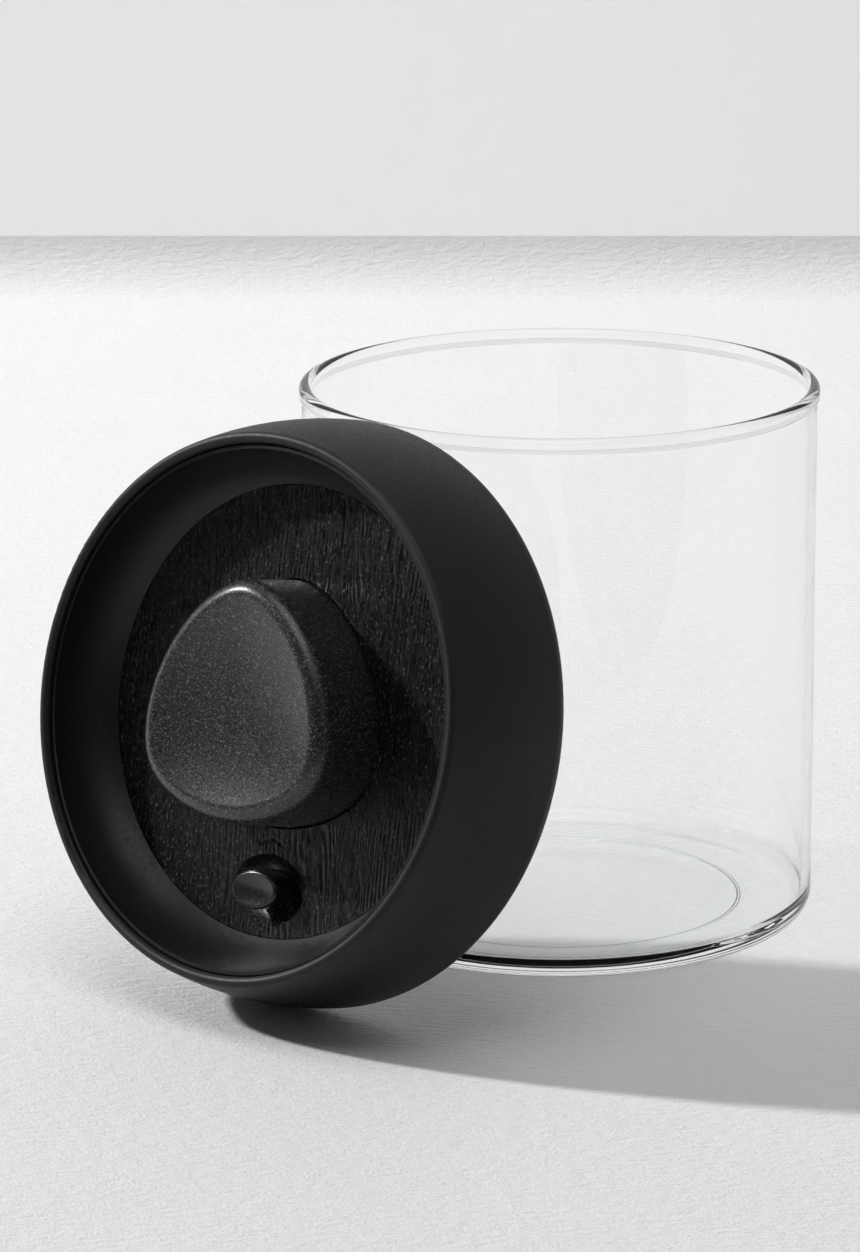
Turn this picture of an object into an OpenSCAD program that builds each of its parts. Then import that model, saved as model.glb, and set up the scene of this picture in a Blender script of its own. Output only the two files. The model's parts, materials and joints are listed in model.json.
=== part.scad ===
// Glass storage canister with a hand-pumped vacuum lid.
// The jar stands on z = 0 with its axis on Z. The lid is off the jar and leans on it:
// its bottom edge rests on the table and its top edge on the jar's lip.
// The lid's own parts are drawn with the lid flat, z = 0 at the bottom of its skirt.

/* [Jar] */
// Height of the glass jar
jar_h = 126; // [118:1:150]
// Diameter over the jar's rounded lip
lip_d = 120; // [118:0.5:122]
// Thickness of the glass wall
glass_t = 1.9; // [1.6:0.1:2.4]
// Thickness of the jar's floor
floor_t = 4.5; // [3.5:0.5:8]
// Radius of the jar's outer bottom corner
foot_corner = 5.5; // [3:0.5:8]

/* [Lid casing] */
// Height of the lid from the bottom of its skirt to its rim
lid_h = 34.5; // [33.5:0.5:38]
// Radius of the shell at its rim
rim_r = 60.6; // [60:0.1:61.5]
// Largest radius of the bulging shell
bulge_r = 65.6; // [65:0.1:68]
// Radius of the shell's rounded bottom edge
edge_r = 4.6; // [4:0.1:5.2]
// Radius of the grained disc
disc_r = 50.3; // [49:0.1:51]
// Depth of the grained disc below the rim
disc_drop = 15.2; // [14.5:0.1:16]

/* [Knob] */
// Mean radius of the knob's outline at its top
knob_r = 26.7; // [24:0.1:27]
// How far the three corners of the knob stand out
knob_lobe = 1.8; // [0.5:0.1:2.2]
// Height of the knob above the disc
knob_rise = 17.8; // [15.5:0.1:18]
// Rounding of the knob's top edge
knob_edge = 3.4; // [2:0.1:4]
// Depth of the dished top
knob_dish = 2.6; // [0.5:0.1:2.8]
// Travel of the knob when it is pushed to pump
knob_stroke = 8; // [4:0.5:8]

/* [Release button] */
// Distance of the button from the lid's axis
button_out = 39.6; // [39:0.1:41]
// Height of the button above the disc
button_rise = 4.8; // [3:0.1:5]
// Travel of the button when it lets the air in
button_stroke = 2.5; // [1.5:0.5:2.5]

/* [Pose] */
// Angle between the lid's face and the vertical
lean = 14; // [12:0.1:18]
// Direction in which the lid leans away, measured from the front towards the left
lean_side = 40; // [0:0.1:90]
// Turn of the lid about its own axis
lid_spin = 4.5; // [-180:0.5:180]

/* [Hidden] */
$fn = 96;

// Jar
lip_r = lip_d / 2;
bead_w = 2.9;
bead_h = 3.9;
wall_r = lip_r - 0.6;
bead_mid_r = lip_r - bead_w / 2;
bead_low_z = jar_h - bead_h + bead_w / 2;
mould_ring_r = 42.5;

// Lid casing, radii and heights
shell_t = 2.4;
bulge_arc = (pow(lid_h - edge_r, 2) + pow(bulge_r - rim_r, 2)) / (2 * (bulge_r - rim_r));
bulge_mid_r = bulge_r - bulge_arc;
rim_round = 1.3;
rim_mid_r = bulge_mid_r + sqrt(pow(bulge_arc - rim_round, 2) - pow(lid_h - rim_round - edge_r, 2));
rim_join_z = edge_r + (lid_h - rim_round - edge_r) * bulge_arc / (bulge_arc - rim_round);
rim_in_r = rim_mid_r - rim_round;
groove_w = 0.35;
bowl_r = rim_in_r - groove_w;
bowl_top = lid_h - rim_round - 0.2;
disc_t = 2.6;
disc_top = lid_h - disc_drop;
bowl_mouth_r = bowl_r - 0.8;
bowl_arc = (pow(bowl_top - disc_top, 2) + pow(bowl_mouth_r - disc_r, 2)) / (2 * (bowl_mouth_r - disc_r));
bowl_mid_r = bowl_mouth_r - bowl_arc;
deck_t = 1.8;
deck_z = disc_top - disc_t - deck_t;
web_r = 56.4;

// Plug that goes into the jar's mouth
plate_r = lip_r - 0.6;
plug_r = 53;
plug_t = 1.8;
plug_low = 2;
plug_floor = 4;
gasket_t = 1.6;
seat_z = deck_z - deck_t - gasket_t;
lip_seal_r = lip_r - bead_w - 0.4;
screw_ring_r = 45;
screw_count = 4;

// Pump
cylinder_r = 13;
cylinder_t = 1.6;
pump_screw_r = 20;
cap_t = 1.6;
piston_t = 3.6;
rod_r = 3.5;
ball_r = 1.8;
ball_z = 2.16;
knob_top = disc_top + knob_rise;
knob_wall = 2.2;
knob_draft = 0.6;
knob_low = disc_top - 3;
knob_under = knob_top - knob_dish - knob_wall;
boss_low = knob_under - 1.6;
cylinder_top = boss_low - knob_stroke - cap_t - 0.5;
piston_top = cylinder_top - 1.5;

// Release valve
button_a = 6.6;
button_b = 4.25;
button_end = 3.2;
button_dish_r = 30;
button_top = disc_top + button_rise;
flange_top = deck_z - 0.3;
flange_t = 1.5;
stem_r = 1.6;
recess_depth = 2.5;
recess_grow = 3.7;

// Where the leaning lid stands: it touches the table and clears the lip by rest_gap
rest_gap = 0.3;
edge_ring_r = bulge_r - edge_r;
edge_ring_up = edge_r + edge_ring_r * cos(lean);
edge_ring_top = edge_ring_up + edge_ring_r * cos(lean);
lip_rise = max(0, bead_low_z - edge_ring_top);
lip_reach = sqrt(pow(edge_r + bead_w / 2 + rest_gap, 2) - pow(lip_rise, 2));
edge_ring_out = bead_mid_r + lip_reach + edge_ring_r * sin(lean);
lid_out = edge_ring_out - edge_r * cos(lean);
lid_up = edge_ring_up - edge_r * sin(lean);

// ---------- placing ----------

// Puts a part of the flat lid where the leaning lid holds it.
module on_lid() {
    rotate([0, 0, -90 - lean_side]) translate([lid_out, 0, lid_up]) rotate([0, 90 - lean, 0])
        rotate([0, 0, 90 + lid_spin]) children();
}

// Repeats a part evenly around the lid's axis.
module around(count, radius, first = 0) {
    for (i = [0 : count - 1]) rotate([0, 0, first + i * 360 / count]) translate([radius, 0, 0]) children();
}

module at_button() {
    translate([0, -button_out, 0]) children();
}

// ---------- shared shapes ----------

// Half section of a disc-like block with its outer bottom corner rounded.
module corner_section(r, h, corner) {
    square([r - corner, h]);
    translate([0, corner]) square([r, h - corner]);
    translate([r - corner, corner]) circle(corner);
}

module tube(r_in, r_out, z_low, z_high) {
    translate([0, 0, z_low]) difference() {
        cylinder(r = r_out, h = z_high - z_low);
        translate([0, 0, -1]) cylinder(r = r_in, h = z_high - z_low + 2);
    }
}

module rod(r, z_low, z_high) {
    translate([0, 0, z_low]) cylinder(r = r, h = z_high - z_low);
}

// Oval of four true arcs, a by b half widths, grown by an equal amount all round.
module oval(grow = 0) {
    shift = button_a - button_end;
    big = (shift * shift + button_b * button_b - button_end * button_end) / (2 * (button_b - button_end));
    join = shift * big / (big - button_end);
    for (side = [-1, 1]) translate([side * shift, 0]) circle(button_end + grow);
    intersection() {
        translate([0, button_b - big]) circle(big + grow);
        translate([0, big - button_b]) circle(big + grow);
        square([2 * join, 4 * button_b], center = true);
    }
}

// Three-cornered egg outline with one corner up; inset moves it inwards by an equal amount, then it is scaled.
outline_steps = 72;
function lobe_reach(a, inset) = knob_r - inset + knob_lobe * cos(3 * a);
function lobe_slide(a) = -3 * knob_lobe * sin(3 * a);
function outline_point(a, inset) = [
    lobe_slide(a) * -sin(a + 90) + lobe_reach(a, inset) * cos(a + 90),
    lobe_slide(a) * cos(a + 90) + lobe_reach(a, inset) * sin(a + 90)];
function outline(inset, scale = 1) =
    [for (i = [0 : outline_steps - 1]) scale * outline_point(i * 360 / outline_steps, inset)];

// Solid through a stack of [inset, z, scale] outlines, closed by a centre point at each end.
module outline_stack(levels, low_z, high_z) {
    n = outline_steps;
    last = len(levels) - 1;
    rings = [for (level = levels) for (p = outline(level[0], level[2])) [p[0], p[1], level[1]]];
    points = concat(rings, [[0, 0, low_z], [0, 0, high_z]]);
    sides = [for (k = [0 : last - 1]) for (i = [0 : n - 1])
        [k * n + i, (k + 1) * n + i, (k + 1) * n + (i + 1) % n, k * n + (i + 1) % n]];
    bottom = [for (i = [0 : n - 1]) [len(rings), i, (i + 1) % n]];
    top = [for (i = [0 : n - 1]) [len(rings) + 1, last * n + (i + 1) % n, last * n + i]];
    polyhedron(points, concat(sides, bottom, top), convexity = 6);
}

// Round-wire compression spring standing on z_low.
module coil_spring(mean_r, wire_r, turns, z_low, z_high) {
    sides = 8;
    per_turn = 24;
    count = turns * per_turn;
    climb = (z_high - z_low - 2 * wire_r) / count;
    points = [for (k = [0 : count]) for (s = [0 : sides - 1])
        let (a = k * 360 / per_turn, b = s * 360 / sides, r = mean_r + wire_r * cos(b))
        [r * cos(a), r * sin(a), z_low + wire_r + k * climb + wire_r * sin(b)]];
    walls = [for (k = [0 : count - 1]) for (s = [0 : sides - 1])
        [k * sides + s, k * sides + (s + 1) % sides, (k + 1) * sides + (s + 1) % sides, (k + 1) * sides + s]];
    start = [[for (s = [sides - 1 : -1 : 0]) s]];
    end = [[for (s = [0 : sides - 1]) count * sides + s]];
    polyhedron(points, concat(walls, start, end), convexity = 20);
}

// Pan-head screw pointing up, its head's face at z_head.
module screw(shank_r, head_r, head_t, z_head, z_tip) {
    difference() {
        rod(head_r, z_head, z_head + head_t);
        for (turn = [0, 90]) rotate([0, 0, turn]) translate([0, 0, z_head])
            cube([1.3 * head_r, 0.28 * head_r, head_t], center = true);
    }
    rod(shank_r, z_head + head_t, z_tip);
}

// ---------- jar ----------

module glass_jar() {
    color([0.86, 0.91, 0.89, 0.3]) rotate_extrude($fn = 180) {
        difference() {
            corner_section(wall_r, jar_h - bead_h / 2, foot_corner);
            translate([0, floor_t]) corner_section(wall_r - glass_t, jar_h, 3);
            translate([mould_ring_r, 0]) circle(0.5, $fn = 24);
        }
        for (z = [bead_low_z, jar_h - bead_w / 2]) translate([bead_mid_r, z]) circle(bead_w / 2);
        translate([bead_mid_r - bead_w / 2, bead_low_z]) square([bead_w, bead_h - bead_w]);
    }
}

// ---------- lid casing ----------

// Half section of the bulging shell, filled to the axis and shrunk by inset.
module bulge_section(inset, z_high) {
    intersection() {
        translate([bulge_mid_r, edge_r]) circle(bulge_arc - inset, $fn = 360);
        translate([0, edge_r]) square([bulge_r, z_high - edge_r]);
    }
    translate([bulge_r - edge_r, edge_r]) circle(edge_r - inset);
    translate([0, inset]) square([bulge_r - edge_r, edge_r - inset]);
}

module outer_shell() {
    color([0.07, 0.07, 0.075]) on_lid() rotate_extrude($fn = 180) difference() {
        union() {
            bulge_section(0, rim_join_z);
            translate([rim_mid_r, lid_h - rim_round]) circle(rim_round);
            square([rim_mid_r, lid_h - rim_round]);
            translate([rim_in_r, 0]) square([rim_round, lid_h - rim_round]);
        }
        intersection() {
            bulge_section(shell_t, lid_h);
            union() {
                translate([0, -1]) square([bulge_r, deck_z + 1]);
                translate([0, deck_z + deck_t]) square([bulge_r, lid_h - 3.2 - deck_z - deck_t]);
            }
        }
        translate([0, -1]) square([edge_ring_r - 0.2, deck_z + 1]);
        translate([0, -1]) square([web_r, lid_h]);
        translate([0, deck_z + deck_t]) square([rim_in_r, lid_h]);
    }
}

module bowl_section() {
    intersection() {
        difference() {
            translate([bowl_mid_r, bowl_top]) circle(bowl_arc + 2, $fn = 180);
            translate([bowl_mid_r, bowl_top]) circle(bowl_arc, $fn = 180);
        }
        translate([disc_r - 3, deck_z]) square([bowl_r - disc_r + 3, bowl_top - deck_z]);
    }
    difference() {
        translate([bowl_r - 2.4, bowl_top - 6]) square([2.4, 6]);
        translate([bowl_mid_r, bowl_top]) circle(bowl_arc, $fn = 180);
    }
    translate([disc_r + 0.1, deck_z]) square([web_r - 0.1 - disc_r - 0.1, deck_t]);
    translate([disc_r + 0.8, deck_z + deck_t]) square([bowl_r - disc_r - 0.8, 1.6]);
    translate([0, deck_z]) square([disc_r + 0.1, deck_t]);
}

module inner_bowl() {
    color([0.1, 0.1, 0.105]) on_lid() {
        difference() {
            rotate_extrude($fn = 180) difference() {
                bowl_section();
                translate([0, deck_z + deck_t]) square([disc_r + 0.1, disc_t]);
            }
            translate([0, 0, deck_z - 1]) linear_extrude(deck_t + 2) polygon(outline(-knob_draft - 1));
            at_button() translate([0, 0, deck_z - 1]) linear_extrude(deck_t + 2) oval(0.3);
        }
        around(screw_count, screw_ring_r, 45) tube(1.5, 4, plug_floor, deck_z);
    }
}

module grain_disc() {
    color([0.085, 0.085, 0.09]) on_lid() difference() {
        rod(disc_r, disc_top - disc_t, disc_top);
        translate([0, 0, disc_top - disc_t - 1]) linear_extrude(disc_t + 2) polygon(outline(-knob_draft - 0.4));
        at_button() {
            translate([0, 0, disc_top - disc_t - 1]) linear_extrude(disc_t + 2) oval(0.3);
            hull() {
                translate([0, 0, disc_top]) linear_extrude(1, $fn = 32) oval(recess_grow);
                translate([0, 0, disc_top - recess_depth]) linear_extrude(0.1, $fn = 32) oval(0.8);
            }
        }
    }
}

module base_plate() {
    color([0.13, 0.13, 0.135]) on_lid() difference() {
        union() {
            rod(plate_r, deck_z - deck_t, deck_z);
            rod(plug_r, plug_low, deck_z);
            rod(plug_r + 0.9, plug_low, plug_low + 1.4);
            rod(6, 0.3, plug_low);
        }
        rod(plug_r - plug_t, plug_floor, deck_z + 1);
        tube(15, 16.6, plug_floor - 1.4, plug_floor + 1);
        rod(1, 0, plug_floor);
        translate([0, 0, 0.6]) cylinder(r1 = 1, r2 = 2.6, h = 1.6);
        rod(2.6, 2.2, plug_floor + 1);
        around(screw_count, screw_ring_r, 45) {
            rod(1.6, 0, plug_floor + 1);
            rod(3.2, 0, plug_low + 1);
        }
        around(3, pump_screw_r, 90) rod(1, plug_floor - 1.4, plug_floor + 1);
        at_button() rod(stem_r + 0.6, 0, plug_floor + 1);
    }
}

module lid_gasket() {
    color([0.3, 0.3, 0.31]) on_lid() rotate_extrude($fn = 180) {
        translate([plug_r, seat_z]) square([plate_r - 0.3 - plug_r, gasket_t]);
        translate([plug_r, plug_low + 1.4]) square([1.2, seat_z - plug_low - 1.4]);
        for (z = [seat_z - 6.4, seat_z - 3.4]) translate([plug_r, z])
            polygon([[1, 0], [lip_seal_r - plug_r, 1.1], [lip_seal_r - plug_r, 1.6], [1, 1.4]]);
    }
}

module plate_screws() {
    color([0.62, 0.63, 0.65]) on_lid() around(screw_count, screw_ring_r, 45)
        screw(1.5, 2.9, 0.9, plug_low + 0.1, deck_z - 1);
}

// ---------- pump, fixed parts ----------

module pump_cylinder() {
    color([0.2, 0.2, 0.21]) on_lid() difference() {
        union() {
            rod(cylinder_r + cylinder_t, plug_floor, cylinder_top);
            rod(pump_screw_r + 2.6, plug_floor, plug_floor + 1.2);
        }
        rod(cylinder_r, plug_floor - 1, cylinder_top + 1);
        around(3, pump_screw_r, 90) rod(1.1, plug_floor - 1, plug_floor + 2);
    }
}

module cylinder_seal() {
    color([0.05, 0.05, 0.05]) on_lid() translate([0, 0, plug_floor - 0.7]) rotate_extrude($fn = 120)
        translate([15.8, 0]) circle(0.7, $fn = 32);
}

module cylinder_cap() {
    color([0.2, 0.2, 0.21]) on_lid() difference() {
        union() {
            tube(rod_r + 0.3, cylinder_r + cylinder_t, cylinder_top, cylinder_top + cap_t);
            tube(cylinder_r - 1.4, cylinder_r, cylinder_top - 1.2, cylinder_top);
        }
        around(6, 8.5) rod(1.2, cylinder_top - 1, cylinder_top + cap_t + 1);
    }
}

module cylinder_screws() {
    color([0.62, 0.63, 0.65]) on_lid() around(3, pump_screw_r, 90) mirror([0, 0, 1])
        screw(1, 1.9, 0.9, -plug_floor - 2.1, -plug_floor + 1.2);
}

module ball_cage() {
    color([0.75, 0.75, 0.73]) on_lid() difference() {
        tube(1.2, 5, plug_floor, plug_floor + 0.8);
        around(4, 2.1) rod(0.6, plug_floor - 1, plug_floor + 2);
    }
}

module release_guide() {
    color([0.2, 0.2, 0.21]) on_lid() at_button() {
        tube(3.9, 5, plug_floor, plug_floor + 5.5);
        tube(3.9, 6.2, plug_floor, plug_floor + 1);
    }
}

module check_ball() {
    color([0.8, 0.8, 0.78]) on_lid() translate([0, 0, ball_z]) sphere(ball_r, $fn = 64);
}

// ---------- pump, moving parts ----------

// Rounded top edge of the knob as outline levels, from the side wall up to the edge of the dish.
function edge_levels(steps) = [for (i = [0 : steps])
    [knob_edge * (1 - cos(i * 90 / steps)), knob_top - knob_edge + knob_edge * sin(i * 90 / steps), 1]];

// Dished top as outline levels, from just inside the edge to near the centre.
function dish_levels(steps) = [for (i = [1 : steps])
    let (across = i / (steps + 1)) [knob_edge, knob_top - knob_dish * (1 - pow(1 - across, 2)), 1 - across]];

module knob() {
    wall_levels = [[-knob_draft, knob_low, 1], [-knob_draft, disc_top, 1]];
    color([0.12, 0.12, 0.125]) on_lid() {
        difference() {
            outline_stack(concat(wall_levels, edge_levels(6), dish_levels(6)), knob_low, knob_top - knob_dish);
            outline_stack([[knob_wall - knob_draft, knob_low - 1, 1], [knob_wall - knob_draft, disc_top, 1],
                [knob_wall + 0.8, knob_under, 1]], knob_low - 1, knob_under);
        }
        tube(1.5, 5.5, boss_low, knob_under);
    }
}

module plunger_rod() {
    color([0.2, 0.2, 0.21]) on_lid() tube(1.6, rod_r, piston_top, boss_low);
}

module piston() {
    color([0.2, 0.2, 0.21]) on_lid() difference() {
        rod(cylinder_r - 0.4, piston_top - piston_t, piston_top);
        tube(cylinder_r - 2.8, cylinder_r, piston_top - piston_t + 0.7, piston_top - 0.7);
        rod(1.6, piston_top - piston_t - 1, piston_top + 1);
        rod(3.2, piston_top - piston_t - 1, piston_top - piston_t + 1.6);
    }
}

module piston_seal() {
    color([0.05, 0.05, 0.05]) on_lid() rotate_extrude($fn = 120)
        translate([0, piston_top - piston_t]) polygon([[cylinder_r - 2.8, 0.7], [cylinder_r - 0.9, 0.7],
            [cylinder_r - 0.05, 2.3], [cylinder_r - 0.05, 2.9], [cylinder_r - 0.7, 2.9],
            [cylinder_r - 1.5, 1.6], [cylinder_r - 2.8, 1.6]]);
}

module knob_screw() {
    color([0.62, 0.63, 0.65]) on_lid()
        screw(1.5, 2.9, 1.4, piston_top - piston_t + 0.2, knob_under);
}

module return_spring() {
    color([0.7, 0.71, 0.72]) on_lid() coil_spring(16.6, 0.55, 6, plug_floor + 1.3, knob_under - 0.1);
}

// ---------- release valve, moving parts ----------

module release_button() {
    color([0.15, 0.15, 0.155]) on_lid() at_button() difference() {
        union() {
            translate([0, 0, flange_top]) linear_extrude(button_top - 0.6 - flange_top) oval();
            translate([0, 0, button_top - 0.6]) linear_extrude(0.35) oval(-0.25);
            translate([0, 0, button_top - 0.25]) linear_extrude(0.25) oval(-0.6);
            translate([0, 0, flange_top - flange_t]) linear_extrude(flange_t) oval(1.2);
        }
        translate([0, 0, button_top - 0.5 + button_dish_r]) sphere(button_dish_r, $fn = 200);
        rod(stem_r, flange_top - flange_t - 1, button_top - 3);
    }
}

module release_stem() {
    color([0.2, 0.2, 0.21]) on_lid() at_button() {
        rod(stem_r, plug_low, button_top - 3);
        rod(2.4, 0.4, 0.8);
        rod(0.9, 0.8, plug_low);
    }
}

module release_seal() {
    color([0.05, 0.05, 0.05]) on_lid() at_button() tube(0.9, 4.6, 0.8, plug_low - 0.05);
}

module button_spring() {
    color([0.7, 0.71, 0.72]) on_lid() at_button()
        coil_spring(2.9, 0.35, 5, plug_floor + 0.05, flange_top - flange_t - 0.05);
}

glass_jar();
outer_shell();
inner_bowl();
grain_disc();
base_plate();
lid_gasket();
plate_screws();
pump_cylinder();
cylinder_seal();
cylinder_cap();
cylinder_screws();
ball_cage();
release_guide();
check_ball();
knob();
plunger_rod();
piston();
piston_seal();
knob_screw();
return_spring();
release_button();
release_stem();
release_seal();
button_spring();
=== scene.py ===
"""Looks of the lidded canister: fine meshes, materials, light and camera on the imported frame."""

import json
import math

import bpy
import numpy as np
from mathutils import Matrix, Vector
from mathutils.geometry import delaunay_2d_cdt


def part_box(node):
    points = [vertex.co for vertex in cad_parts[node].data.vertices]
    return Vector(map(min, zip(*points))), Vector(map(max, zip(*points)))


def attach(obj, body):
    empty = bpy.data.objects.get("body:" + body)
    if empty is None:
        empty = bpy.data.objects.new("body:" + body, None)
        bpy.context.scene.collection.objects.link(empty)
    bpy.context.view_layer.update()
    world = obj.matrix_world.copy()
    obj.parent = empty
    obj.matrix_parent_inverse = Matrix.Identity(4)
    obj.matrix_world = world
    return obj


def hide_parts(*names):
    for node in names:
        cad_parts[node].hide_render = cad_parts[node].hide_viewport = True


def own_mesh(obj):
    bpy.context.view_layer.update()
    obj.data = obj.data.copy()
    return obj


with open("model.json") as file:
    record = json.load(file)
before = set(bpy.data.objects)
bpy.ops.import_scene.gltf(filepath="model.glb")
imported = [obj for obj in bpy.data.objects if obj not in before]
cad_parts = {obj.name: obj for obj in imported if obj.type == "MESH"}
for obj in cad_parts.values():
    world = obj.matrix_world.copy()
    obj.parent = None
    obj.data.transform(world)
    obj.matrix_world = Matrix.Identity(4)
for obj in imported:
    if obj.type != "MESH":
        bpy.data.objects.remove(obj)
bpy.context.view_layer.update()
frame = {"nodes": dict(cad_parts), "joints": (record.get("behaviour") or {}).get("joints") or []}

MM = 0.001

# Jar, in millimetres
LIP_R = 59.99
BEAD_W = 2.9
BEAD_H = 3.9
WALL_R = 59.4
GLASS_T = 1.9
FLOOR_T = 4.5
FOOT_CORNER = 5.5
MOULD_RING_R = 42.5
MOULD_RING = 0.5
BASE_HOLLOW = 0.35
NECK = 2.2
INNER_CORNER = 3.0
WALL_LOW = 12.0
JAR_H = 126.0

# Lid, in millimetres with the lid flat
DISC_R = 50.3
DISC_TOP = 19.3
DISC_T = 2.6
BALL_UP = 2.16
KNOB_R = 26.7
KNOB_LOBE = 1.8
KNOB_TOP = 37.1
KNOB_LOW = 16.3
KNOB_EDGE = 3.4
KNOB_DISH = 2.6
KNOB_DRAFT = 0.6
KNOB_WALL = 2.2
KNOB_GAP = 0.4
BUTTON_OUT = 39.6
BUTTON_A = 6.6
BUTTON_B = 4.25
BUTTON_END = 3.2
BUTTON_TOP = 24.1
BUTTON_DISH = 0.5
RECESS_DEPTH = 2.5
RECESS_GROW = 3.7
GRAIN_DEPTH = 0.2
MARK_OUT = 28.8
PLUG_FLOOR = 4.0
KNOB_UNDER = KNOB_TOP - KNOB_DISH - KNOB_WALL
BOSS_LOW = KNOB_UNDER - 1.6
BUTTON_UNDER = 13.1
BUTTON_EDGE = 0.7
FLANGE = 1.2
FLANGE_TOP = 14.6
RETURN_COIL_R = 16.6
RETURN_WIRE_R = 0.55
BUTTON_COIL_R = 2.9
BUTTON_WIRE_R = 0.35

# Camera, as lens in millimetres, place in metres and turns in degrees
LENS = 156.7
CAMERA_AT = (0, -1.2262, 0.3984)
CAMERA_TURN = 1.403
CAMERA_DOWN = 15.098
CAMERA_ROLL = -0.254


# ---------- where the lid is ----------


def middle(node):
    """Centre of a CAD node's box, in metres."""
    low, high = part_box(node)
    return (low + high) / 2


def joint(name):
    """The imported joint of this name."""
    return next(j for j in frame["joints"] if j["name"] == name)


def lid_place():
    """Matrix from the flat lid, in metres with z = 0 at the bottom of its skirt, to where the lid leans."""
    up = -Vector(joint("knob_push")["axis"]).normalized()
    origin = middle("check_ball") - up * BALL_UP * MM
    to_button = middle("release_seal") - origin
    back = -(to_button - up * to_button.dot(up)).normalized()
    side = back.cross(up)
    place = Matrix((side, back, up)).transposed().to_4x4()
    place.translation = origin
    return place


LID = lid_place()
JAR = Matrix.Identity(4)


# ---------- camera and light ----------


def camera():
    """Long lens at the photograph's viewing angle."""
    data = bpy.data.cameras.new("camera")
    data.lens = LENS
    data.sensor_width = 36
    data.clip_end = 20
    cam = bpy.data.objects.new("camera", data)
    turn = Matrix.Rotation(math.radians(CAMERA_TURN), 4, "Z")
    tilt = Matrix.Rotation(math.radians(90 - CAMERA_DOWN), 4, "X")
    roll = Matrix.Rotation(math.radians(CAMERA_ROLL), 4, "Z")
    cam.matrix_world = Matrix.Translation(CAMERA_AT) @ turn @ tilt @ roll
    bpy.context.scene.collection.objects.link(cam)
    bpy.context.scene.camera = cam


def lamp(name, toward, distance, size, power, colour=(1, 1, 1), target=(0, -0.02, 0.06)):
    """Round soft lamp that shines along `toward` onto the target."""
    data = bpy.data.lights.new(name, "AREA")
    data.shape = "DISK"
    data.size = size
    data.energy = power
    data.color = colour
    lamp_object = bpy.data.objects.new(name, data)
    direction = Vector(toward).normalized()
    lamp_object.location = Vector(target) - direction * distance
    lamp_object.rotation_mode = "QUATERNION"
    lamp_object.rotation_quaternion = direction.to_track_quat("-Z", "Y")
    bpy.context.scene.collection.objects.link(lamp_object)
    return lamp_object


def studio_world():
    """Pale surroundings with one dark side, towards which the lid's face and its bowl look."""
    world = bpy.data.worlds.new("studio")
    world.use_nodes = True
    nodes, links = world.node_tree.nodes, world.node_tree.links
    place = nodes.new("ShaderNodeTexCoord")
    facing = nodes.new("ShaderNodeVectorMath")
    facing.operation = "DOT_PRODUCT"
    facing.inputs[1].default_value = Vector((0.55, 0.83, 0.15)).normalized()
    spread = nodes.new("ShaderNodeMapRange")
    spread.interpolation_type = "SMOOTHSTEP"
    spread.inputs["From Min"].default_value = -0.55
    spread.inputs["From Max"].default_value = 0.15
    spread.inputs["To Min"].default_value = 0.025
    spread.inputs["To Max"].default_value = 0.36
    links.new(place.outputs["Generated"], facing.inputs[0])
    links.new(facing.outputs["Value"], spread.inputs["Value"])
    links.new(spread.outputs["Result"], nodes["Background"].inputs["Strength"])
    nodes["Background"].inputs["Color"].default_value = (0.96, 0.98, 1, 1)
    bpy.context.scene.world = world


def lights():
    """Small key lamp from the left, a soft one above, one on the wall, and the pale surroundings."""
    lamp("key", toward=(0.835, -0.155, -0.53), distance=4.0, size=0.26, power=146, colour=(1, 0.99, 0.975))
    lamp("top", toward=(0.1, 0.3, -1.0), distance=1.7, size=1.2, power=6.4, colour=(0.98, 0.99, 1))
    wash = lamp("wall_wash", toward=(0, 0.75, -0.6), distance=0.9, size=1.0, power=0.7,
                target=(0, 0.72, 0.14))
    wash.data.spread = math.radians(95)
    studio_world()
    bpy.context.scene.view_settings.view_transform = "Standard"


# ---------- material helpers ----------


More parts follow.
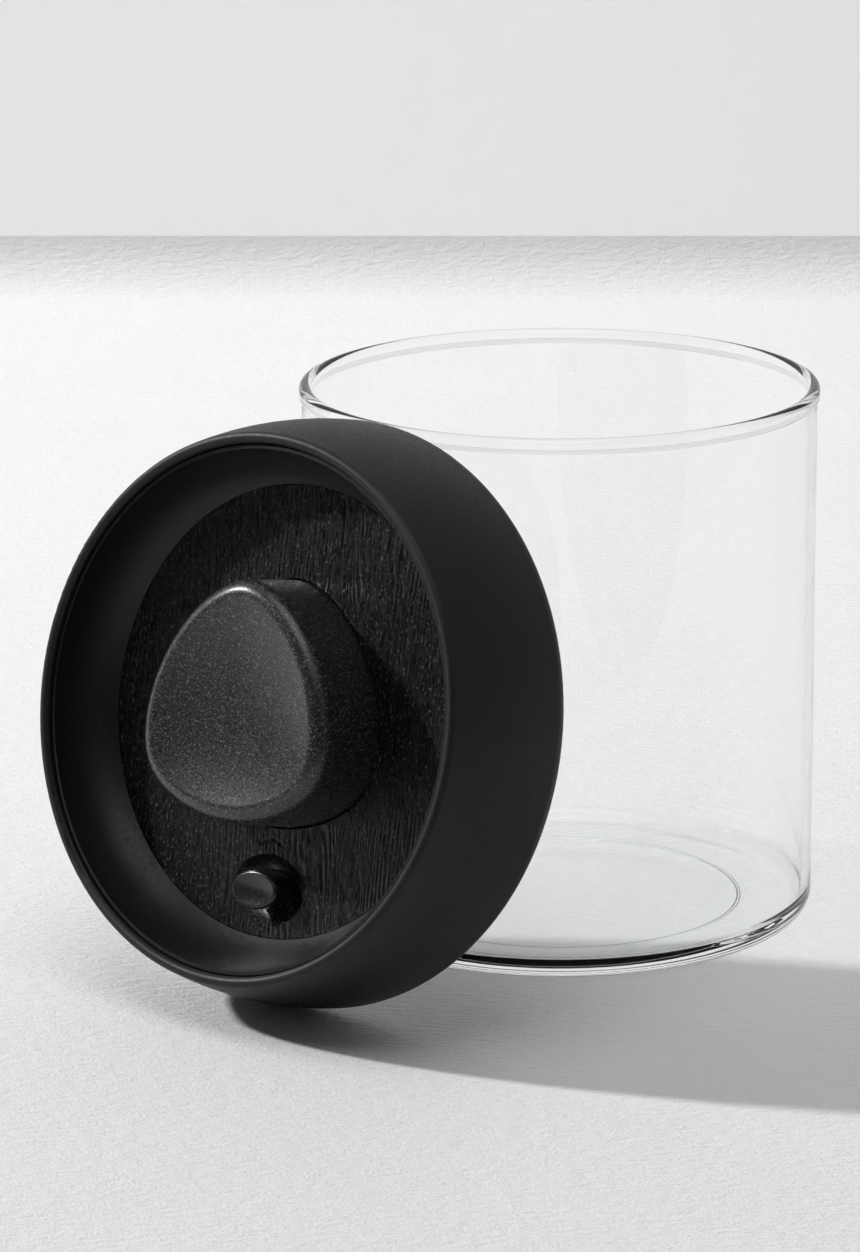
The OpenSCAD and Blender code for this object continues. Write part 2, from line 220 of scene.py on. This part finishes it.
class Surface:
    """A material under construction: one Principled shader and the patterns that feed it."""

    def __init__(self, name, roughness, metallic=0.0, specular=0.5):
        self.material = bpy.data.materials.new(name)
        self.material.use_nodes = True
        self.nodes = self.material.node_tree.nodes
        self.links = self.material.node_tree.links
        self.shader = self.nodes["Principled BSDF"]
        self.shader.inputs["Roughness"].default_value = roughness
        self.shader.inputs["Metallic"].default_value = metallic
        self.shader.inputs["Specular IOR Level"].default_value = specular
        self.place = self.nodes.new("ShaderNodeTexCoord").outputs["Object"]
        self.height = None

    def noise(self, size, detail=2.0, rough=0.5, stretch=None, distortion=0.0):
        """Cloud pattern whose blotches are about `size` millimetres, longer along the stretched axes."""
        node = self.nodes.new("ShaderNodeTexNoise")
        node.inputs["Scale"].default_value = 1 / (size * MM)
        node.inputs["Detail"].default_value = detail
        node.inputs["Roughness"].default_value = rough
        node.inputs["Distortion"].default_value = distortion
        self.links.new(self.stretched(stretch), node.inputs["Vector"])
        return node.outputs["Fac"]

    def stretched(self, stretch):
        if stretch is None:
            return self.place
        node = self.nodes.new("ShaderNodeMapping")
        node.inputs["Scale"].default_value = [1 / s for s in stretch]
        self.links.new(self.place, node.inputs["Vector"])
        return node.outputs["Vector"]

    def spread(self, value, low, high, to_low=0.0, to_high=1.0):
        """Maps low..high of a pattern to another range, and holds it there outside."""
        node = self.nodes.new("ShaderNodeMapRange")
        for name, number in zip(("From Min", "From Max", "To Min", "To Max"), (low, high, to_low, to_high)):
            node.inputs[name].default_value = number
        self.links.new(value, node.inputs["Value"])
        return node.outputs["Result"]

    def colour(self, first, second, mask):
        """Blends two colours by a pattern into the base colour."""
        node = self.nodes.new("ShaderNodeMix")
        node.data_type = "RGBA"
        self.links.new(mask, node.inputs["Factor"])
        node.inputs[6].default_value = (*first, 1)
        node.inputs[7].default_value = (*second, 1)
        self.links.new(node.outputs[2], self.shader.inputs["Base Color"])

    def roughen(self, value):
        self.links.new(value, self.shader.inputs["Roughness"])

    def bump(self, value, depth, strength=1.0):
        """Adds relief `depth` millimetres deep to what is there already."""
        node = self.nodes.new("ShaderNodeBump")
        node.inputs["Strength"].default_value = strength
        node.inputs["Distance"].default_value = depth * MM
        self.links.new(value, node.inputs["Height"])
        if self.height is not None:
            self.links.new(self.height, node.inputs["Normal"])
        self.height = node.outputs["Normal"]
        self.links.new(self.height, self.shader.inputs["Normal"])


def clear_glass():
    """Colourless glass with faint waviness. Lamps and bounced light pass straight through it."""
    surface = Surface("clear_glass", roughness=0.0)
    surface.shader.inputs["Base Color"].default_value = (0.99, 0.996, 0.993, 1)
    surface.shader.inputs["Transmission Weight"].default_value = 1
    surface.shader.inputs["IOR"].default_value = 1.3
    surface.roughen(surface.spread(surface.noise(9, detail=4), 0.45, 0.8, 0.0, 0.035))
    surface.bump(surface.noise(22, detail=1), 0.12, strength=0.35)
    through = surface.nodes.new("ShaderNodeBsdfTransparent")
    through.inputs["Color"].default_value = (0.965, 0.97, 0.97, 1)
    path = surface.nodes.new("ShaderNodeLightPath")
    mix = surface.nodes.new("ShaderNodeMixShader")
    straight = surface.nodes.new("ShaderNodeMath")
    straight.operation = "MAXIMUM"
    surface.links.new(path.outputs["Is Shadow Ray"], straight.inputs[0])
    surface.links.new(path.outputs["Is Diffuse Ray"], straight.inputs[1])
    surface.links.new(straight.outputs["Value"], mix.inputs["Fac"])
    surface.links.new(surface.shader.outputs["BSDF"], mix.inputs[1])
    surface.links.new(through.outputs["BSDF"], mix.inputs[2])
    surface.links.new(mix.outputs["Shader"], surface.nodes["Material Output"].inputs["Surface"])
    return surface.material


def matte_black():
    """Fine-textured moulded shell."""
    surface = Surface("matte_black", roughness=0.5, specular=0.3)
    surface.colour((0.0045, 0.0045, 0.005), (0.007, 0.007, 0.0075), surface.noise(14, detail=3))
    surface.roughen(surface.spread(surface.noise(0.7, detail=3), 0.3, 0.7, 0.44, 0.58))
    surface.bump(surface.noise(0.4, detail=2, rough=0.6), 0.015, strength=0.7)
    return surface.material


def satin_black():
    """Smoother liner of the bowl, with a light mould texture."""
    surface = Surface("satin_black", roughness=0.4, specular=0.34)
    surface.colour((0.004, 0.004, 0.0045), (0.006, 0.006, 0.0065), surface.noise(10, detail=3))
    surface.roughen(surface.spread(surface.noise(1.1, detail=4), 0.3, 0.7, 0.34, 0.48))
    surface.bump(surface.noise(0.5, detail=2, rough=0.6), 0.03, strength=0.8)
    return surface.material


def speckled_black():
    """Spark-eroded satin plastic: dark grey with fine bright grains painted in as glints, and a sharp sheen.
    """
    surface = Surface("speckled_black", roughness=0.26, specular=0.5)
    # Painted glints: bright grains in the base colour stand in for the glints of the eroded texture.
    painted_glints = surface.spread(surface.noise(0.4, detail=1, rough=0.7), 0.56, 0.7)
    surface.colour((0.013, 0.013, 0.015), (0.13, 0.132, 0.142), painted_glints)
    surface.roughen(surface.spread(surface.noise(0.5, detail=1), 0.3, 0.7, 0.24, 0.36))
    surface.bump(surface.noise(0.42, detail=1, rough=0.6), 0.022, strength=0.9)
    return surface.material


def smooth_black():
    """Button: finer satin than the knob, without grains."""
    surface = Surface("smooth_black", roughness=0.24, specular=0.5)
    surface.colour((0.010, 0.010, 0.012), (0.014, 0.014, 0.016), surface.noise(3, detail=3))
    surface.roughen(surface.spread(surface.noise(0.9, detail=3), 0.3, 0.7, 0.2, 0.3))
    surface.bump(surface.noise(0.35, detail=2), 0.006, strength=0.5)
    return surface.material


def grained_black():
    """Embossed grain: fine pores along the grain on top of the modelled relief, and bright specks painted in
    as glints.
    """
    surface = Surface("grained_black", roughness=0.34, specular=0.4)
    pores = surface.noise(0.5, detail=3, rough=0.6, stretch=(1, 7, 1), distortion=0.4)
    # Painted glints: bright specks in the base colour stand in for glints on the grain's ridges.
    painted_glints = surface.spread(surface.noise(0.42, detail=1, rough=0.7, stretch=(1, 2.2, 1)), 0.6, 0.74)
    surface.colour((0.0032, 0.0032, 0.0036), (0.085, 0.085, 0.086), painted_glints)
    surface.roughen(surface.spread(pores, 0.3, 0.7, 0.2, 0.4))
    surface.bump(pores, 0.08, strength=0.9)
    return surface.material


def plug_black():
    """Plain moulded plastic of the hidden side."""
    surface = Surface("plug_black", roughness=0.45)
    surface.colour((0.016, 0.016, 0.017), (0.026, 0.026, 0.027), surface.noise(8, detail=4))
    surface.roughen(surface.spread(surface.noise(1.5, detail=4), 0.3, 0.7, 0.34, 0.56))
    surface.bump(surface.noise(0.5, detail=3, rough=0.6), 0.03, strength=0.4)
    return surface.material


def silicone():
    """Smoky see-through silicone with a dusty sheen."""
    surface = Surface("silicone", roughness=0.4)
    surface.shader.inputs["Subsurface Weight"].default_value = 0.35
    surface.shader.inputs["Subsurface Radius"].default_value = (0.6, 0.6, 0.6)
    surface.shader.inputs["Subsurface Scale"].default_value = 0.001
    surface.shader.inputs["Sheen Weight"].default_value = 0.15
    surface.colour((0.20, 0.20, 0.205), (0.27, 0.27, 0.275), surface.noise(6, detail=4))
    surface.roughen(surface.spread(surface.noise(2, detail=4), 0.3, 0.7, 0.32, 0.5))
    surface.bump(surface.noise(0.6, detail=3), 0.03, strength=0.4)
    return surface.material


def black_rubber():
    """Dull rubber of the seals."""
    surface = Surface("black_rubber", roughness=0.62)
    surface.shader.inputs["Sheen Weight"].default_value = 0.1
    surface.colour((0.012, 0.012, 0.012), (0.028, 0.028, 0.028), surface.noise(2.5, detail=5))
    surface.roughen(surface.spread(surface.noise(1, detail=4), 0.3, 0.7, 0.52, 0.72))
    surface.bump(surface.noise(0.3, detail=3), 0.03, strength=0.5)
    return surface.material


def acetal():
    """Milky plastic of the ball and its cage."""
    surface = Surface("acetal", roughness=0.3)
    surface.shader.inputs["Subsurface Weight"].default_value = 0.3
    surface.shader.inputs["Subsurface Radius"].default_value = (1, 0.95, 0.85)
    surface.shader.inputs["Subsurface Scale"].default_value = 0.0012
    surface.colour((0.72, 0.71, 0.68), (0.80, 0.79, 0.77), surface.noise(2.5, detail=3))
    surface.roughen(surface.spread(surface.noise(0.8, detail=3), 0.3, 0.7, 0.24, 0.4))
    surface.bump(surface.noise(0.4, detail=2), 0.015, strength=0.4)
    return surface.material


def steel():
    """Bright drawn and turned steel with fine scratches."""
    surface = Surface("steel", roughness=0.28, metallic=1.0)
    surface.colour((0.50, 0.50, 0.51), (0.62, 0.62, 0.63), surface.noise(1.2, detail=4))
    surface.roughen(surface.spread(surface.noise(0.5, detail=4), 0.3, 0.7, 0.2, 0.4))
    surface.bump(surface.noise(0.25, detail=3), 0.012, strength=0.5)
    return surface.material


def table_top():
    """Pale tabletop with a fine uneven texture."""
    surface = Surface("table_top", roughness=0.6, specular=0.3)
    surface.colour((0.77, 0.77, 0.765), (0.81, 0.81, 0.805), surface.noise(60, detail=3))
    surface.bump(surface.noise(1.5, detail=3, stretch=(2.8, 1, 1)), 0.5, strength=1.0)
    surface.bump(surface.noise(0.8, detail=2), 0.2, strength=1.0)
    return surface.material


def wall_paint():
    """Pale wall, see-through from behind so that the object can be looked at from every side."""
    surface = Surface("wall_paint", roughness=0.8, specular=0.2)
    surface.colour((0.86, 0.86, 0.855), (0.885, 0.885, 0.88), surface.noise(160, detail=3))
    surface.shader.inputs["Emission Color"].default_value = (1, 1, 0.995, 1)
    surface.shader.inputs["Emission Strength"].default_value = 0.13
    surface.bump(surface.noise(8, detail=3), 0.3, strength=0.5)
    side = surface.nodes.new("ShaderNodeNewGeometry")
    through = surface.nodes.new("ShaderNodeBsdfTransparent")
    mix = surface.nodes.new("ShaderNodeMixShader")
    surface.links.new(side.outputs["Backfacing"], mix.inputs["Fac"])
    surface.links.new(surface.shader.outputs["BSDF"], mix.inputs[1])
    surface.links.new(through.outputs["BSDF"], mix.inputs[2])
    surface.links.new(mix.outputs["Shader"], surface.nodes["Material Output"].inputs["Surface"])
    return surface.material


# ---------- mesh helpers ----------


def arc(centre, radius, start, end, steps):
    """Points along an arc of (r, z), angles in degrees."""
    angles = np.radians(np.linspace(start, end, steps + 1))
    return [(centre[0] + radius * math.cos(a), centre[1] + radius * math.sin(a)) for a in angles]


def piece(name, points, faces, body, place, material, replaces=()):
    """A mesh piece from points in millimetres, set in place, smooth except at sharp edges."""
    mesh = bpy.data.meshes.new(name)
    mesh.from_pydata((np.asarray(points, float) * MM).tolist(), [], faces)
    mesh.validate()
    mesh.update()
    mesh.shade_smooth()
    mesh.set_sharp_from_angle(angle=math.radians(38))
    mesh.materials.append(material)
    made = bpy.data.objects.new(name, mesh)
    bpy.context.scene.collection.objects.link(made)
    made.matrix_world = place
    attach(made, body)
    if replaces:
        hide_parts(*replaces)
    return made


def lathe(outline, segments=256, closed=True):
    """Points and faces of an (r, z) outline turned about z. A point on the axis becomes one vertex."""
    points, faces, rows = [], [], []
    turns = np.linspace(0, 2 * math.pi, segments, endpoint=False)
    for r, z in outline:
        if r < 1e-6:
            rows.append([len(points)] * segments)
            points.append((0, 0, z))
        else:
            rows.append(list(range(len(points), len(points) + segments)))
            points.extend((r * math.cos(t), r * math.sin(t), z) for t in turns)
    pairs = list(zip(rows, rows[1:] + rows[:1])) if closed else list(zip(rows, rows[1:]))
    for low, high in pairs:
        for i in range(segments):
            k = (i + 1) % segments
            face = [low[i], low[k], high[k], high[i]]
            corners = [v for n, v in enumerate(face) if v not in face[:n]]
            if len(corners) > 2:
                faces.append(corners)
    return points, faces


def rings_to_mesh(rings, close_low=True, close_high=True):
    """Skins a stack of equal rings of 3-D points, and closes each end with a fan to its middle."""
    count = len(rings[0])
    points = [tuple(p) for ring in rings for p in ring]
    faces = []
    for row in range(len(rings) - 1):
        for i in range(count):
            k = (i + 1) % count
            faces.append([row * count + i, row * count + k, (row + 1) * count + k, (row + 1) * count + i])
    ends = [(0, close_low, True), (len(rings) - 1, close_high, False)]
    for row, wanted, flip in ends:
        if not wanted:
            continue
        hub = len(points)
        points.append(tuple(np.mean(rings[row], axis=0)))
        for i in range(count):
            k = (i + 1) % count
            edge = [row * count + i, row * count + k]
            faces.append([hub, *(reversed(edge) if flip else edge)])
    return points, faces


def tube_along(path, radius, sides=14):
    """Round wire along a path of points, closed at both ends."""
    path = np.asarray(path, float)
    ahead = np.gradient(path, axis=0)
    ahead /= np.linalg.norm(ahead, axis=1)[:, None]
    out = path * (1, 1, 0)
    out -= (out * ahead).sum(1)[:, None] * ahead
    out /= np.linalg.norm(out, axis=1)[:, None]
    across = np.cross(ahead, out)
    turns = np.linspace(0, 2 * math.pi, sides, endpoint=False)
    rings = [[p + radius * (math.cos(t) * o + math.sin(t) * a) for t in turns]
             for p, o, a in zip(path, out, across)]
    return rings_to_mesh(rings)


# ---------- jar ----------


def glass_jar(material):
    """The whole jar as one turned skin, with the bead flowing into the wall and a trace of a hollow base."""
    bead = BEAD_W / 2
    mid_r = LIP_R - bead
    low_z = JAR_H - BEAD_H + bead
    high_z = JAR_H - bead
    neck_z = JAR_H - BEAD_H - NECK
    outline = [(0, BASE_HOLLOW), (0.5 * MOULD_RING_R, 0.8 * BASE_HOLLOW), (MOULD_RING_R - 3, 0.1)]
    outline += arc((MOULD_RING_R, 0), MOULD_RING, 180, 0, 12)
    outline += arc((WALL_R - FOOT_CORNER, FOOT_CORNER), FOOT_CORNER, -90, 0, 24)
    outline += [(WALL_R, z) for z in np.linspace(WALL_LOW, neck_z, 24)]
    outline += arc((mid_r, low_z), bead, -48, 0, 10)
    outline += arc((mid_r, high_z), bead, 0, 180, 30)
    outline += arc((mid_r, low_z), bead, 180, 232, 10)
    inner_r = WALL_R - GLASS_T
    outline += [(inner_r, z) for z in np.linspace(neck_z, WALL_LOW, 24)]
    outline += arc((inner_r - INNER_CORNER, FLOOR_T + INNER_CORNER), INNER_CORNER, 0, -90, 16)
    outline += [(0.6 * inner_r, FLOOR_T), (0.3 * inner_r, FLOOR_T), (0, FLOOR_T)]
    points, faces = lathe(outline, segments=320, closed=False)
    return piece("jar_glass", points, faces, "jar", JAR, material, ["glass_jar"])


# ---------- knob and button ----------


def knob_ring(inset, z, count=240):
    """Three-cornered outline moved inwards by an equal amount, at one height."""
    a = np.linspace(0, 2 * math.pi, count, endpoint=False)
    reach = KNOB_R - inset + KNOB_LOBE * np.cos(3 * a)
    slide = -3 * KNOB_LOBE * np.sin(3 * a)
    turn = a + math.pi / 2
    x = -slide * np.sin(turn) + reach * np.cos(turn)
    y = slide * np.cos(turn) + reach * np.sin(turn)
    return np.column_stack([x, y, np.full(count, z)])


def round_ring(radius, z, count=240):
    """Circle whose points turn together with those of the knob's outline."""
    turn = np.linspace(0, 2 * math.pi, count, endpoint=False) + math.pi / 2
    return np.column_stack([radius * np.cos(turn), radius * np.sin(turn), np.full(count, z)])


def knob(material):
    """Hollow push knob: boss for its screw, drafted wall, rounded edge, and a dish that fades into it."""
    wall = KNOB_WALL - KNOB_DRAFT
    boss = ((1.5, KNOB_UNDER), (1.5, BOSS_LOW), (5.5, BOSS_LOW), (5.5, KNOB_UNDER))
    rings = [round_ring(r, z) for r, z in boss]
    rings += [knob_ring(KNOB_WALL + 0.8, KNOB_UNDER), knob_ring(wall, DISC_TOP)]
    rings += [knob_ring(wall, KNOB_LOW + 0.2)]
    rings += [knob_ring(wall - 0.2, KNOB_LOW), knob_ring(-KNOB_DRAFT + 0.3, KNOB_LOW)]
    rings += [knob_ring(-KNOB_DRAFT, z) for z in (KNOB_LOW + 0.3, DISC_TOP - 0.5, DISC_TOP)]
    for z_share in np.linspace(0, 1, 8)[1:-1]:
        z = DISC_TOP + z_share * (KNOB_TOP - KNOB_EDGE - DISC_TOP)
        rings.append(knob_ring(-KNOB_DRAFT * (1 - z_share), z))
    for a in np.linspace(0, math.pi / 2, 18):
        inset = KNOB_EDGE * (1 - math.cos(a))
        rings.append(knob_ring(inset, KNOB_TOP - KNOB_EDGE + KNOB_EDGE * math.sin(a)))
    for across in np.linspace(0, 0.98, 30)[1:]:
        ring = knob_ring(KNOB_EDGE, KNOB_TOP - KNOB_DISH * (1 - (1 - across) ** 2))
        rings.append(ring * (1 - across, 1 - across, 1))
    points, faces = rings_to_mesh(rings)
    return piece("knob_skin", points, faces, "knob", LID, material, ["knob"])


def oval_ring(grow, z, count=120):
    """Outline of the four-arc oval, grown by an equal amount, at one height, about the button's axis."""
    shift = BUTTON_A - BUTTON_END
    big = (shift ** 2 + BUTTON_B ** 2 - BUTTON_END ** 2) / (2 * (BUTTON_B - BUTTON_END))
    turn = math.atan2(big - BUTTON_B, shift)
    ring = []
    for a in np.linspace(0, 2 * math.pi, count, endpoint=False):
        side = math.copysign(1, math.cos(a))
        upper = math.copysign(1, math.sin(a))
        flat = abs(math.atan2(abs(math.sin(a)), abs(math.cos(a))))
        if flat < turn:
            centre, radius = (side * shift, 0), BUTTON_END + grow
        else:
            centre, radius = (0, -upper * (big - BUTTON_B)), big + grow
        ring.append((centre[0] + radius * math.cos(a), centre[1] + radius * math.sin(a) - BUTTON_OUT, z))
    return np.array(ring)


def button(material):
    """Release button: straight oval wall, a tight rounded edge and a shallow dish."""
    edge = BUTTON_EDGE
    soft = 0.15
    rings = [oval_ring(FLANGE - soft, BUTTON_UNDER), oval_ring(FLANGE, BUTTON_UNDER + soft)]
    rings += [oval_ring(FLANGE, FLANGE_TOP - soft), oval_ring(FLANGE - soft, FLANGE_TOP)]
    rings.append(oval_ring(0, FLANGE_TOP))
    rings += [oval_ring(0, z) for z in np.linspace(15.5, BUTTON_TOP - edge, 5)]
    for a in np.linspace(0, math.pi / 2, 12)[1:]:
        rings.append(oval_ring(-edge * (1 - math.cos(a)), BUTTON_TOP - edge + edge * math.sin(a)))
    centre = np.array((0, -BUTTON_OUT, 0))
    for across in np.linspace(0, 0.98, 14)[1:]:
        ring = oval_ring(-edge, BUTTON_TOP - BUTTON_DISH * (1 - (1 - across) ** 2)) - centre
        rings.append(ring * (1 - across, 1 - across, 1) + centre)
    points, faces = rings_to_mesh(rings)
    node = "release_button"
    return piece("button_skin", points, faces, "button", LID, material, [node])


# ---------- grained disc ----------


def value_noise(x, y, size_x, size_y, seed):
    """Smooth noise from 0 to 1 with cells of the given size in millimetres."""
    count = 256
    lattice = np.random.default_rng(seed).random((count, count))
    u, v = x / size_x + 100, y / size_y + 100
    i, k = np.floor(u).astype(int), np.floor(v).astype(int)
    a, b = u - i, v - k
    a, b = a * a * (3 - 2 * a), b * b * (3 - 2 * b)
    low = lattice[i % count, k % count] * (1 - a) + lattice[(i + 1) % count, k % count] * a
    high = lattice[i % count, (k + 1) % count] * (1 - a) + lattice[(i + 1) % count, (k + 1) % count] * a
    return low * (1 - b) + high * b


def wood_relief(x, y):
    """Embossed grain along y, 0 on the ridges and below it in the pores: wavy lines with arched figures."""
    drift = 5.0 * value_noise(x, y, 16, 45, 1) + 1.1 * value_noise(x, y, 4.5, 13, 2)
    arches = 9.0 * np.exp(-((x - 17) / 7) ** 2) * np.tanh((y - 8) / 22)
    arches -= 6.0 * np.exp(-((x + 22) / 8) ** 2) * np.tanh((y + 12) / 26)
    lines = x + drift + arches
    ridges = 0.5 + 0.5 * np.sin(2 * math.pi * lines / 1.15)
    fine = 0.5 + 0.5 * np.sin(2 * math.pi * lines / 0.53 + 4 * value_noise(x, y, 3, 9, 3))
    broken = np.clip(1.6 * value_noise(x, y, 0.8, 5.5, 4) - 0.2, 0, 1)
    chips = value_noise(x, y, 0.45, 1.3, 5)
    depth = 0.62 * ridges ** 1.6 * broken + 0.2 * fine + 0.3 * chips
    return -GRAIN_DEPTH * np.clip(depth, 0, 1)


def chevron(x, y):
    """How deep the small arrow mark towards the button is, 0 outside it."""
    half, rise, stroke, depth = 3.4, 1.5, 0.42, 0.22
    middle_y = MARK_OUT + rise * (np.abs(x) / half) - rise / 2
    away = np.hypot(np.maximum(np.abs(x) - half, 0), (y + middle_y) * math.cos(math.atan2(rise, half)))
    return -depth * np.clip((stroke - away) / 0.12 + 0.5, 0, 1)


def inside(loop, points):
    """For each point, whether it is inside a loop that is convex."""
    ahead = np.roll(loop, -1, axis=0) - loop
    result = np.ones(len(points), bool)
    for start, step in zip(loop, ahead):
        result &= step[0] * (points[:, 1] - start[1]) - step[1] * (points[:, 0] - start[0]) > 0
    return result


def disc_face():
    """Triangles of the disc's top between its rim, the knob's hole and the recess, with the relief."""
    rim = np.array(arc((0, 0), DISC_R - 0.2, 0, 360, 300))[:-1]
    hole = knob_ring(-KNOB_DRAFT - KNOB_GAP, 0, 160)[:, :2]
    recess = oval_ring(RECESS_GROW, 0, 120)[:, :2]
    loops = [rim, hole, recess]
    step_x, step_y = 0.24, 0.85
    xs = np.arange(-DISC_R, DISC_R, step_x)
    ys = np.arange(-DISC_R, DISC_R, step_y)
    grid_x, grid_y = (g.ravel() for g in np.meshgrid(xs, ys))
    mark_x, mark_y = (g.ravel() for g in np.meshgrid(np.arange(-4.5, 4.5, 0.2), np.arange(-2, 2, 0.17)))
    grid = np.column_stack([np.append(grid_x, mark_x), np.append(grid_y, mark_y - MARK_OUT)])
    keep = np.hypot(*grid.T) < DISC_R - 0.35
    for loop in (hole, recess):
        centre = loop.mean(axis=0)
        keep &= ~inside(centre + (loop - centre) * 1.012, grid)
    points = np.vstack([*loops, grid[keep]])
    edges, start = [], 0
    for loop in loops:
        count = len(loop)
        edges += [(start + i, start + (i + 1) % count) for i in range(count)]
        start += count
    flat, _, faces, *_ = delaunay_2d_cdt([Vector(p) for p in points], edges, [], 0, 1e-5)
    flat = np.array([tuple(p) for p in flat])
    faces = np.array([tuple(f) for f in faces])
    middles = flat[faces].mean(axis=1)
    faces = faces[~inside(hole, middles) & ~inside(recess, middles)]
    x, y = flat.T
    z = DISC_TOP + wood_relief(x, y) + chevron(x, y)
    return np.column_stack([x, y, z]), faces.tolist()


def grain_disc(material):
    """Embossed disc: relief on top, a broken rim, and a smooth funnel down to the button's hole."""
    rim = np.column_stack([arc((0, 0), 1, 0, 360, 300)[:-1], np.zeros(300)])
    rim_levels = ((DISC_R - 0.2, -0.02), (DISC_R - 0.05, -0.12), (DISC_R, -0.3), (DISC_R, -DISC_T))
    rim_rings = [rim * (r, r, 0) + (0, 0, DISC_TOP + z) for r, z in reversed(rim_levels)]
    hole_rings = [knob_ring(-KNOB_DRAFT - KNOB_GAP, DISC_TOP + z, 160) for z in (-0.05, -0.4, -DISC_T)]
    funnel = [oval_ring(RECESS_GROW, DISC_TOP - 0.03)]
    for across in np.linspace(0, 1, 14)[1:]:
        sink = RECESS_DEPTH * (across + 0.12 * math.sin(math.pi * across))
        funnel.append(oval_ring(RECESS_GROW + (0.35 - RECESS_GROW) * across, DISC_TOP - sink))
    funnel.append(oval_ring(0.3, DISC_TOP - DISC_T))
    parts = [disc_face()]
    parts += [rings_to_mesh(rings, False, False) for rings in (rim_rings, hole_rings, funnel)]
    points, faces = [], []
    for part_points, part_faces in parts:
        faces += [[v + len(points) for v in face] for face in part_faces]
        points += [tuple(p) for p in part_points]
    return piece("disc_skin", points, faces, "lid", LID, material, ["grain_disc"])


# ---------- springs ----------


def spring(name, centre_y, mean_r, wire_r, turns, low, high, node, material):
    """Compression spring with closed end turns."""
    closed = 1.1
    share = np.linspace(0, 1, int(turns * 48) + 1)
    at = share * (turns + 1)
    rise = np.clip((at - closed) / (turns + 1 - 2 * closed), 0, 1)
    lead = 2 * wire_r * (np.clip(at, 0, closed) + np.clip(at - (turns + 1 - closed), 0, closed))
    free = high - low - 2 * wire_r - 4 * wire_r * closed
    z = low + wire_r + rise * free + lead
    angle = 2 * math.pi * at
    path = np.column_stack([mean_r * np.cos(angle), mean_r * np.sin(angle), z])
    points, faces = tube_along(path, wire_r)
    points = np.array(points) + (0, centre_y, 0)
    made = piece(name, points, faces, "lid", LID, material, [node])
    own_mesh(made)
    return made


# ---------- CAD nodes and stage ----------

NODE_MATERIALS = {
    "glass_jar": "clear_glass",
    "outer_shell": "matte_black",
    "inner_bowl": "satin_black",
    "grain_disc": "grained_black",
    "base_plate": "plug_black",
    "lid_gasket": "silicone",
    "plate_screws": "steel",
    "pump_cylinder": "plug_black",
    "cylinder_seal": "black_rubber",
    "cylinder_cap": "plug_black",
    "cylinder_screws": "steel",
    "ball_cage": "acetal",
    "release_guide": "plug_black",
    "check_ball": "acetal",
    "knob": "speckled_black",
    "plunger_rod": "plug_black",
    "piston": "plug_black",
    "piston_seal": "black_rubber",
    "knob_screw": "steel",
    "return_spring": "steel",
    "release_button": "speckled_black",
    "release_stem": "plug_black",
    "release_seal": "black_rubber",
    "button_spring": "steel",
}


def dress_nodes():
    """Gives every CAD node its procedural material."""
    for node, slot_name in NODE_MATERIALS.items():
        mesh = frame["nodes"][node].data
        mesh.materials.clear()
        mesh.materials.append(MATERIALS[slot_name])


def stage():
    """Pale table, ending in a paler wall a little way behind."""
    depth = 0.72
    curve = 0.02
    under = -0.0001
    outline = [(-2.5, under), (depth - curve, under)]
    outline += [(depth - curve + curve * math.sin(a), under + curve - curve * math.cos(a))
                for a in np.linspace(0, math.pi / 2, 9)[1:]]
    outline += [(depth, 2.0)]
    points = [(x, y, z) for y, z in outline for x in (-2.5, 2.5)]
    faces = [[2 * i, 2 * i + 1, 2 * i + 3, 2 * i + 2] for i in range(len(outline) - 1)]
    mesh = bpy.data.meshes.new("table")
    mesh.from_pydata(points, [], faces)
    mesh.shade_smooth()
    mesh.materials.append(table_top())
    mesh.materials.append(wall_paint())
    mesh.polygons[len(faces) - 1].material_index = 1
    table = bpy.data.objects.new("table", mesh)
    bpy.context.scene.collection.objects.link(table)


# ---------- assembly ----------

camera()
lights()

MATERIALS = {make.__name__: make() for make in (
    clear_glass, matte_black, satin_black, speckled_black, smooth_black, grained_black, plug_black,
    silicone, black_rubber, acetal, steel)}

dress_nodes()
stage()
glass_jar(MATERIALS["clear_glass"])
knob(MATERIALS["speckled_black"])
button(MATERIALS["smooth_black"])
grain_disc(MATERIALS["grained_black"])
spring("return_coil", 0, RETURN_COIL_R, RETURN_WIRE_R, 6, PLUG_FLOOR + 1.3, KNOB_UNDER - 0.1, "return_spring",
       MATERIALS["steel"])
spring("button_coil", -BUTTON_OUT, BUTTON_COIL_R, BUTTON_WIRE_R, 5, PLUG_FLOOR + 0.05, BUTTON_UNDER - 0.05,
       "button_spring", MATERIALS["steel"])
